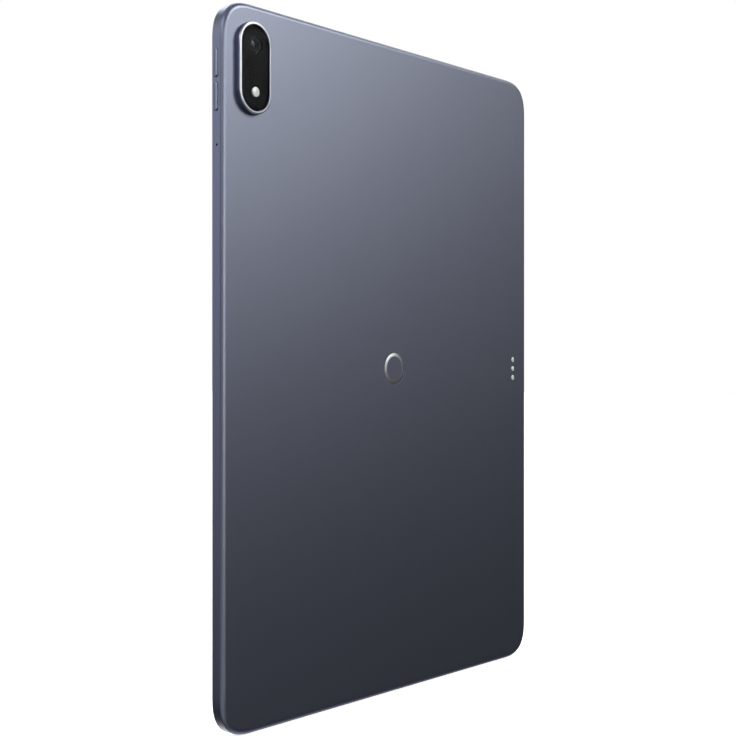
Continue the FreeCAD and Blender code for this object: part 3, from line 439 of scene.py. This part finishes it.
glassShape = {
    "gap": 0.1 * mm, "edge": 0.3 * mm, "backBevel": 0.03 * mm, "lift": 0.01 * mm,
    "sideBezel": 7.4 * mm, "endBezel": 8.4 * mm, "windowCorner": 3 * mm,
}
inkShape = {"depth": 0.02 * mm, "behind": 0.004 * mm, "inset": 0.1 * mm}


def buildGlass():
    g = glassShape
    low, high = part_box("cover_glass")
    inset = bodyShape["rim"] + g["gap"]
    bm = bmesh.new()
    back = high.y - g["lift"]
    levels = [(inset + g["backBevel"], back), (inset, back - g["backBevel"])]
    levels += arc(90, 180, g["edge"], (inset + g["edge"], low.y + g["edge"]), 6)
    loft(bm, bodyOutline, levels, alongY)
    return bm


def buildInk():
    # the black border printed on the back of the glass
    g = glassShape
    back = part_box("cover_glass")[1].y - g["lift"] - inkShape["behind"]
    levels = (back - inkShape["depth"], back)
    window = roundedOutline(halfWidth - g["sideBezel"], halfHeight - g["endBezel"], g["windowCorner"],
                            steps=bodyShape["cornerSteps"], centre=(0.0, middleZ))
    inset = bodyShape["rim"] + g["gap"] + inkShape["inset"]
    outer = [point - normal * inset for point, normal in bodyOutline]
    inner = [point for point, normal in window]
    bm = bmesh.new()
    rings = []
    for line, level in ((outer, levels[0]), (inner, levels[0]), (inner, levels[1]), (outer, levels[1])):
        rings.append([bm.verts.new(alongY(spot.x, spot.y, level)) for spot in line])
    for ringA, ringB in zip(rings, rings[1:] + rings[:1]):
        for i in range(len(outer)):
            j = (i + 1) % len(outer)
            bm.faces.new((ringA[i], ringA[j], ringB[j], ringB[i]))
    return bm


addPiece("coverGlass", buildGlass(), finish["clearGlass"], "tablet", ["cover_glass"])
border = addPiece("glassBorder", buildInk(), finish["ink"], "tablet")

frontCameraShape = {
    "lens": 1.4 * mm, "glass": 0.85 * mm, "eye": 1.5 * mm, "sensorEye": 0.7 * mm, "corner": 0.4 * mm,
    "step": 0.05 * mm, "backBevel": 0.08 * mm, "lip": 0.35 * mm, "lipBevel": 0.03 * mm,
    "recess": 0.09 * mm, "dome": 0.07 * mm, "glassDepth": 0.1 * mm,
}
eyeLow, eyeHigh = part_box("front_camera")
eyeX = (eyeLow.x + eyeHigh.x) / 2
sensorLow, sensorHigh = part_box("light_sensor")
sensorAt = ((sensorLow.x + sensorHigh.x) / 2, (sensorLow.z + sensorHigh.z) / 2)
cutRound(border, [(eyeX, middleZ, frontCameraShape["eye"]), (*sensorAt, frontCameraShape["sensorEye"])])


def buildFrontCamera():
    # a square can with a short lens mount, its glass a shallow dome set in a ring
    f = frontCameraShape
    half = (eyeHigh.x - eyeLow.x) / 2
    can = roundedOutline(half, half, f["corner"], steps=6, centre=(eyeX, middleZ))
    mount = roundedOutline(f["lens"], f["lens"], f["lens"], steps=10, centre=(eyeX, middleZ))
    bevel, step = f["backBevel"], f["step"]
    canFront = frontFace + bodyShape["ledge"] + step
    front = eyeLow.y
    floor = front + f["recess"]
    bm = bmesh.new()
    levels = [(bevel, eyeHigh.y), (0, eyeHigh.y - bevel), (0, canFront + step), (step, canFront)]
    loft(bm, can, levels, alongY)
    levels = [(0, canFront + 2 * step), (0, front + f["lipBevel"]), (f["lipBevel"], front)]
    levels += [(f["lip"], front), (f["lens"] - f["glass"] - step, floor)]
    for degrees in range(0, 86, 17):
        angle = math.radians(degrees)
        levels.append((f["lens"] - f["glass"] * math.cos(angle), floor - f["dome"] * math.sin(angle)))
    loft(bm, mount, levels, alongY)
    return bm


frontCamera = addPiece("frontCamera", buildFrontCamera(), finish["darkMetal"], "tablet", ["front_camera"])
paintWhere(frontCamera, finish["lensGlass"],
           lambda middle: middle.y < eyeLow.y + frontCameraShape["glassDepth"] and
           math.hypot(middle.x - eyeX, middle.z - middleZ) < frontCameraShape["glass"])
print("glass")


def buildRing():
    r = ringShape
    step = r["halfWidth"] - (windowHigh.x - windowLow.x) / 2 - r["windowGap"]
    inner = step + r["seat"]
    top = ringTop
    bottom = backFace - r["foot"]
    seat = windowLow.y - r["seatGap"]
    bevel = r["innerBevel"]
    bm = bmesh.new()
    levels = [(0, bottom), (0, backFace + r["straight"])]
    levels += arc(90, 0, r["topRound"], (r["draft"] + r["topRound"], top - r["topRound"]), 6)
    levels += [(step - bevel, top), (step, top - bevel), (step, seat), (inner, seat), (inner, bottom)]
    loft(bm, pillOutline, levels, alongY, loop=True)
    return bm


windowShape = {"edge": 0.3 * mm, "lensEye": 3.5 * mm, "flashEye": 2.02 * mm, "inkInset": 0.05 * mm}
windowOutline = roundedOutline((windowHigh.x - windowLow.x) / 2, (windowHigh.z - windowLow.z) / 2,
                               (windowHigh.x - windowLow.x) / 2, steps=28, centre=(ringX, ringZ))


def buildWindow():
    w = windowShape
    bm = bmesh.new()
    top = windowHigh.y
    levels = [(0, windowLow.y)] + arc(90, 0, w["edge"], (w["edge"], top - w["edge"]), 6)
    loft(bm, windowOutline, levels, alongY)
    return bm


def buildWindowInk():
    bm = bmesh.new()
    inset = windowShape["inkInset"]
    back = windowLow.y - inkShape["behind"]
    loft(bm, windowOutline, [(inset, back - inkShape["depth"]), (inset, back)], alongY)
    return bm


ring = addPiece("cameraRing", buildRing(), finish["anodised"], "tablet", ["camera_ring"], smoothAngle=25)
landLevel = ringTop - ringShape["topRound"]
paintWhere(ring, finish["satin"], lambda middle: middle.y > landLevel)
weigh(ring)
window = addPiece("cameraWindow", buildWindow(), finish["cameraGlass"], "tablet", ["camera_window"])
cutRound(window, [(ringX, flashZ, windowShape["flashEye"])])
windowInk = addPiece("windowInk", buildWindowInk(), finish["ink"], "tablet")
cutRound(windowInk, [(ringX, flashZ, windowShape["flashEye"]), (ringX, lensZ, windowShape["lensEye"])])


def turned(name, profile, at, material, body, nodes=(), steps=16):
    # a piece turned about an axis along Y through at, from (radius, level) pairs, closed at both ends
    bm = bmesh.new()
    radius = profile[0][0]
    outline = roundedOutline(radius, radius, radius, steps=steps, centre=at)
    levels = [(radius - r, level) for r, level in profile]
    loft(bm, outline, levels, alongY)
    return addPiece(name, bm, material, body, nodes, smoothAngle=28)


lensShape = {
    # (radius, how far under the front) in mm, from the rim inwards
    "steps": ((2.45, 0.0), (2.35, 0.15), (2.1, 0.15), (2.0, 0.35), (1.75, 0.35), (1.62, 0.6)),
    "bevel": 0.1 * mm, "glass": 1.66 * mm, "sunk": 0.62 * mm, "dome": 0.34 * mm,
    "domeAngles": (0.25, 0.5, 0.75, 1.0, 1.25, 1.45),
}
lensTop = lensHigh.y
lensRadius = (lensHigh.x - lensLow.x) / 2
bevel = lensShape["bevel"]
barrel = [(lensRadius, lensLow.y), (lensRadius, lensTop - bevel), (lensRadius - bevel, lensTop)]
barrel += [(radius * mm, lensTop - depth * mm) for radius, depth in lensShape["steps"]]
turned("lensBarrel", barrel, (ringX, lensZ), finish["lensBlack"], "focus_lens", ["rear_camera_lens"])
glass, sunk = lensShape["glass"], lensTop - lensShape["sunk"]
dome = [(glass, sunk)]
dome += [(glass * math.cos(angle), sunk + lensShape["dome"] * math.sin(angle))
         for angle in lensShape["domeAngles"]]
turned("lensElement", dome, (ringX, lensZ), finish["lensGlass"], "focus_lens")

flashShape = {
    "flange": 2.7 * mm, "flangeDepth": 0.38 * mm, "step": 0.01 * mm, "radius": 1.96 * mm, "bevel": 0.1 * mm,
    "flat": 1.87 * mm, "rings": 5, "firstRing": 1.78 * mm, "pitch": 0.34 * mm, "slope": 0.28 * mm,
    "grooveLow": 0.05 * mm, "grooveHigh": 0.005 * mm,
}
f = flashShape
flashTop = flashHigh.y
flangeTop = flashLow.y + f["flangeDepth"]
flash = [(f["flange"], flashLow.y), (f["flange"], flangeTop), (f["radius"], flangeTop + f["step"])]
flash += [(f["radius"], flashTop - f["bevel"]), (f["flat"], flashTop)]
for number in range(f["rings"]):                # fine rings on its face
    outer = f["firstRing"] - number * f["pitch"]
    flash += [(outer, flashTop - f["grooveLow"]), (outer - f["slope"], flashTop - f["grooveHigh"])]
turned("flashDiffuser", flash, (ringX, flashZ), finish["diffuser"], "tablet", ["flash_lens"])
print("camera")


def buildEmblem():
    e = emblemShape
    low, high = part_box("rear_emblem")
    radius = (high.x - low.x) / 2
    outline = roundedOutline(radius, radius, radius, steps=e["steps"], centre=(0.0, (low.z + high.z) / 2))
    edge = e["edge"]
    band = e["band"]
    bm = bmesh.new()
    levels = [(0, low.y), (0, high.y - e["fall"] - edge), (edge, high.y - e["fall"])]
    for step in range(1, e["slopes"]):          # rises in a shallow curve towards the inner edge
        share = step / e["slopes"]
        levels.append((edge + (band - 3 * edge) * share, high.y - e["fall"] * (1 - share) ** e["hollow"]))
    levels += [(band - 2 * edge, high.y), (band - edge, high.y), (band, high.y - edge), (band, low.y)]
    loft(bm, outline, levels, alongY, loop=True)
    return bm


addPiece("backEmblem", buildEmblem(), finish["brightMetal"], "tablet", ["rear_emblem"], smoothAngle=25)


padShape = {"fall": 0.17 * mm, "slopes": 11}


def buildPads():
    low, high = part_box("keyboard_contacts")
    radius = (high.x - low.x) / 2
    bm = bmesh.new()
    for at in contactSpots():
        outline = roundedOutline(radius, radius, radius, steps=12, centre=at)
        levels = [(0, low.y), (0, high.y - padShape["fall"])]
        for step in range(1, padShape["slopes"]):   # a shallow dome
            share = step / padShape["slopes"]
            levels.append((radius * share, high.y - padShape["fall"] * (1 - share) ** 2))
        loft(bm, outline, levels, alongY)
    return bm


addPiece("contactPads", buildPads(), finish["nickel"], "tablet", ["keyboard_contacts"], smoothAngle=35)

keyShape = {
    "edge": 0.3 * mm, "crown": 0.06 * mm, "crownSteps": 5,
    "flange": 0.4 * mm, "flangeFrom": 0.35 * mm, "flangeTo": 0.8 * mm, "flangeSlope": 0.05 * mm,
}


def buildKey(halfLength, centre, outer, inner, place, flip):
    # cap with a soft edge, over a flange that keeps it in
    halfKey = openings["keyWidth"] / 2
    halves = (halfLength, halfKey) if flip else (halfKey, halfLength)
    outline = roundedOutline(*halves, halfKey, steps=12, centre=centre)
    k = keyShape
    edge, crown, flange = k["edge"], k["crown"], k["flange"]
    bm = bmesh.new()
    levels = [(-flange, inner + k["flangeFrom"]), (-flange, inner + k["flangeTo"])]
    levels += [(0, inner + k["flangeTo"] + k["flangeSlope"])]
    levels += arc(90, 8, edge, (edge, outer - edge - crown), 6)
    inset = levels[-1][0]
    for step in range(1, k["crownSteps"]):     # a slightly crowned face
        share = step / k["crownSteps"]
        levels.append((inset + (halfKey - inset) * share, outer - crown * (1 - share) ** 2))
    loft(bm, outline, levels, place)
    return bm


for name, body in (("volumeUpKey", "volume_up"), ("volumeDownKey", "volume_down")):
    low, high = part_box(body + "_key")
    key = buildKey(openings["keyLength"] / 2, (keyY, (low.z + high.z) / 2), high.x, low.x, alongX, False)
    addPiece(name, key, finish["anodised"], body, [body + "_key"])
low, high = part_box("power_key")
key = buildKey(openings["powerLength"] / 2, ((low.x + high.x) / 2, keyY), high.z, low.z, alongZ, True)
addPiece("powerKey", key, finish["anodised"], "power", ["power_key"])
print("keys")


portShape = {
    "wall": 0.3 * mm, "outerBevel": 0.08 * mm, "innerBevel": 0.1 * mm,
    "tongueX": 6.69 * mm, "tongueY": 0.7 * mm, "tongueCorner": 0.3 * mm, "tongueBevel": 0.1 * mm,
    "root": 1.2 * mm, "intoRoot": 1.0 * mm,
    "padCount": 12, "padPitch": 0.5 * mm, "padHalfX": 0.13 * mm, "padHalfY": 0.02 * mm,
    "padCorner": 0.015 * mm, "padFrom": 0.5 * mm, "padTo": 1.3 * mm,
}


def buildPort():
    halfX, halfY = (portHigh.x - portLow.x) / 2, (portHigh.y - portLow.y) / 2
    outline = roundedOutline(halfX, halfY, halfY, steps=12, centre=(0.0, portY))
    wall, bevel = portShape["wall"], portShape["outerBevel"]
    bm = bmesh.new()
    levels = [(0, portHigh.z), (0, portLow.z + bevel), (bevel, portLow.z), (wall - bevel, portLow.z)]
    levels += [(wall, portLow.z + portShape["innerBevel"]), (wall, portHigh.z - wall)]
    loft(bm, outline, levels, alongZ)
    return bm


def buildTongue():
    low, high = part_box("usb_tongue")
    t = portShape
    bm = bmesh.new()
    bevel = t["tongueBevel"]
    halfRoot = (high.y - low.y) / 2
    root = roundedOutline((high.x - low.x) / 2, halfRoot, halfRoot, steps=8, centre=(0.0, portY))
    loft(bm, root, [(0, high.z), (0, high.z - t["root"])], alongZ)
    blade = roundedOutline(t["tongueX"] / 2, t["tongueY"] / 2, t["tongueCorner"], steps=5,
                           centre=(0.0, portY))
    loft(bm, blade, [(bevel, low.z), (0, low.z + bevel), (0, high.z - t["intoRoot"])], alongZ)
    return bm


def buildPortContacts():
    low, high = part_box("usb_tongue")
    t = portShape
    bm = bmesh.new()
    for side in (-1, 1):
        for number in range(t["padCount"]):
            x = (number - (t["padCount"] - 1) / 2) * t["padPitch"]
            strip = roundedOutline(t["padHalfX"], t["padHalfY"], t["padCorner"], steps=2,
                                   centre=(x, portY + side * t["tongueY"] / 2))
            loft(bm, strip, [(0, low.z + t["padFrom"]), (0, high.z - t["padTo"])], alongZ)
    return bm


addPiece("portSleeve", buildPort(), finish["steel"], "tablet", ["usb_receptacle"], smoothAngle=30)
addPiece("portTongue", buildTongue(), finish["blackPlastic"], "tablet", ["usb_tongue"], smoothAngle=30)
addPiece("portContacts", buildPortContacts(), finish["gold"], "tablet", smoothAngle=30)
print("port")


# inner pieces keep their CAD shape and take a finish by node
innerFinish = {
    "glass_adhesive": "foamTape", "camera_window_gasket": "foamTape", "flash_led": "board",
    "flash_holder": "blackPlastic", "rear_camera_housing": "darkMetal", "rear_camera_sensor": "board",
    "rear_camera_flex": "amberFilm", "key_switches": "board", "key_brackets": "steel",
    "contact_holder": "blackPlastic", "contact_flex": "amberFilm", "display_cell": "screen",
    "display_backlight": "whiteFilm", "display_plate": "steel", "display_flex": "amberFilm",
    "main_board": "board", "sub_board": "board", "board_connectors": "blackPlastic", "processor": "chip",
    "board_chips": "chip", "processor_shield": "steel", "radio_shield": "steel",
    "heat_spreader": "graphite",
    "usb_seal": "rubber", "main_flex": "amberFilm", "battery_cell_left": "pouch",
    "battery_cell_right": "pouch", "battery_adhesive": "whiteFilm", "battery_board": "board",
    "speaker_magnets": "magnet", "speaker_meshes": "darkMetal", "microphones": "steel",
    "front_camera_flex": "amberFilm", "light_sensor": "chip",
    "edge_magnets": "magnet", "stylus_coil": "copper", "antennas": "blackPlastic", "screws": "steel",
}
for corner in ("upper_left", "upper_right", "lower_left", "lower_right"):
    innerFinish["speaker_box_" + corner] = "blackPlastic"
    innerFinish["speaker_cone_" + corner] = "coneFilm"
for node, name in innerFinish.items():
    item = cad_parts[node]
    item.data.materials.clear()
    item.data.materials.append(finish[name])
print("inner pieces", len(innerFinish))


stage = {"floorSize": 6.0, "drop": 0.2 * mm, "glow": 0.75, "paint": 0.82, "second": 0.84, "blotch": 0.4,
         "roughness": 0.9, "gloss": 0.1}


def buildFloor():
    bm = bmesh.new()
    bmesh.ops.create_grid(bm, x_segments=8, y_segments=8, size=stage["floorSize"])
    mesh = bpy.data.meshes.new("floor")
    bm.to_mesh(mesh)
    bm.free()
    floor = bpy.data.objects.new("floor", mesh)
    floor.location.z = -stage["drop"]
    scene.collection.objects.link(floor)
    material, tree, shader, place = shaderOf("paleFloor")
    patches = speckle(tree, place, stage["blotch"])
    tint = blendColours(tree, patches, (stage["paint"],) * 3, (stage["second"],) * 3)
    tree.links.new(tint, shader.inputs["Base Color"])
    shader.inputs["Roughness"].default_value = stage["roughness"]
    shader.inputs["Specular IOR Level"].default_value = stage["gloss"]
    shader.inputs["Emission Color"].default_value = (1.0, 1.0, 1.0, 1.0)
    shader.inputs["Emission Strength"].default_value = stage["glow"]
    mesh.materials.append(material)
    floor.visible_glossy = False
    floor.visible_diffuse = False
    floor.visible_transmission = False
    floor.visible_shadow = False


buildFloor()

lamps = {
    "overhead": {"at": (0.2, 0.2, 1.7), "aim": (0.0, 0.0, 0.1), "size": (1.2, 1.2), "power": 2.0},
}
for name, lamp in lamps.items():
    data = bpy.data.lights.new(name, "AREA")
    data.shape = "RECTANGLE"
    data.size, data.size_y = lamp["size"]
    data.energy = lamp["power"]
    light = bpy.data.objects.new(name, data)
    light.location = lamp["at"]
    light.rotation_euler = (Vector(lamp["aim"]) - Vector(lamp["at"])).to_track_quat("-Z", "Y").to_euler()
    scene.collection.objects.link(light)

# soft panels round the object: turn is measured from +X towards +Y, tight is how narrow each one is
panels = {
    "tallLowLeft": {"turn": 123, "rise": 11, "tight": 130, "light": (0.95, 1.07, 0.95)},
    "tallLowRight": {"turn": 132, "rise": 11, "tight": 130, "light": (1.04, 0.96, 1.04)},
    "tallSide": {"turn": 114, "rise": 20, "tight": 130, "light": (1.85, 2.0, 2.05)},
    "tallMidLeft": {"turn": 123, "rise": 20, "tight": 130, "light": (1.97, 2.0, 1.58)},
    "tallMidRight": {"turn": 132, "rise": 20, "tight": 130, "light": (2.49, 2.51, 2.22)},
    "tallHighLeft": {"turn": 123, "rise": 29, "tight": 130, "light": (3.3, 3.75, 3.7)},
    "tallHighRight": {"turn": 132, "rise": 29, "tight": 130, "light": (4.94, 4.93, 3.92)},
    "tallTop": {"turn": 132, "rise": 38, "tight": 130, "light": (10.4, 10.9, 11.5)},
    "edgeLow": {"turn": 80, "rise": 4, "tight": 130, "light": (6.91, 6.91, 5.43)},
    "edgeHigh": {"turn": 96, "rise": 11, "tight": 130, "light": (6.3, 6.6, 6.7)},
    "camera": {"turn": 40, "rise": 30, "tight": 36, "light": (3.14, 3.36, 3.99)},
    "keySideHigh": {"turn": -20, "rise": 30, "tight": 36, "light": (7.40, 7.80, 6.88)},
    "keySideLow": {"turn": -40, "rise": 10, "tight": 36, "light": (0.97, 0.95, 1.17)},
    "rimSide": {"turn": -86, "rise": 0, "tight": 30, "light": (1.2, 1.2, 1.3)},
    "overFar": {"turn": -160, "rise": 30, "tight": 36, "light": (4.86, 4.79, 3.82)},
    "overScreen": {"turn": -120, "rise": 50, "tight": 22, "light": (4.95, 5.12, 5.13)},
    "lowBack": {"turn": 45, "rise": -28, "tight": 12, "light": (0.7, 0.7, 0.76)},
    "lowScreen": {"turn": -120, "rise": -35, "tight": 12, "light": (2.20, 2.21, 1.88)},
    "below": {"turn": 180, "rise": -68, "tight": 10, "light": (0.85, 0.88, 1.0)},
}


def buildWorld():
    world = bpy.data.worlds.new("studio")
    world.use_nodes = True
    scene.world = world
    nodes, links = world.node_tree.nodes, world.node_tree.links
    way = nodes.new("ShaderNodeTexCoord").outputs["Generated"]
    total = None
    for panel in panels.values():
        turn, rise = math.radians(panel["turn"]), math.radians(panel["rise"])
        along = nodes.new("ShaderNodeVectorMath")
        along.operation = "DOT_PRODUCT"
        along.inputs[1].default_value = (math.cos(rise) * math.cos(turn), math.cos(rise) * math.sin(turn),
                                         math.sin(rise))
        links.new(way, along.inputs[0])
        facing = nodes.new("ShaderNodeMath")
        facing.operation = "MAXIMUM"
        facing.inputs[1].default_value = 0.0
        links.new(along.outputs["Value"], facing.inputs[0])
        power = nodes.new("ShaderNodeMath")
        power.operation = "POWER"
        power.inputs[1].default_value = panel["tight"]
        links.new(facing.outputs["Value"], power.inputs[0])
        glow = nodes.new("ShaderNodeVectorMath")
        glow.operation = "SCALE"
        glow.inputs[0].default_value = panel["light"]
        links.new(power.outputs["Value"], glow.inputs["Scale"])
        if total is None:
            total = glow.outputs["Vector"]
            continue
        added = nodes.new("ShaderNodeVectorMath")
        added.operation = "ADD"
        links.new(total, added.inputs[0])
        links.new(glow.outputs["Vector"], added.inputs[1])
        total = added.outputs["Vector"]
    links.new(total, nodes["Background"].inputs["Color"])
    white = nodes.new("ShaderNodeBackground")
    white.inputs["Color"].default_value = (1.0, 1.0, 1.0, 1.0)
    sight = nodes.new("ShaderNodeLightPath")
    mixed = nodes.new("ShaderNodeMixShader")
    links.new(sight.outputs["Is Camera Ray"], mixed.inputs["Fac"])
    links.new(nodes["Background"].outputs["Background"], mixed.inputs[1])
    links.new(white.outputs["Background"], mixed.inputs[2])
    links.new(mixed.outputs["Shader"], nodes["World Output"].inputs["Surface"])


buildWorld()

view = {"turn": 49.21, "distance": 0.58007, "aside": 0.012, "rise": 0.0003, "lens": 63.216}
turn = math.radians(view["turn"])
ahead = Vector((-math.sin(turn), -math.cos(turn), 0.0))
right = ahead.cross(Vector((0.0, 0.0, 1.0)))
centre = Vector((0.0, backFace, middleZ))
cameraData = bpy.data.cameras.new("view")
cameraData.lens = view["lens"]
cameraData.sensor_width = 36.0
cameraData.clip_start = 0.01
camera = bpy.data.objects.new("view", cameraData)
camera.location = centre - ahead * view["distance"] - right * view["aside"] + Vector((0, 0, view["rise"]))
camera.rotation_euler = ahead.to_track_quat("-Z", "Y").to_euler()
scene.collection.objects.link(camera)
scene.camera = camera
print("stage")
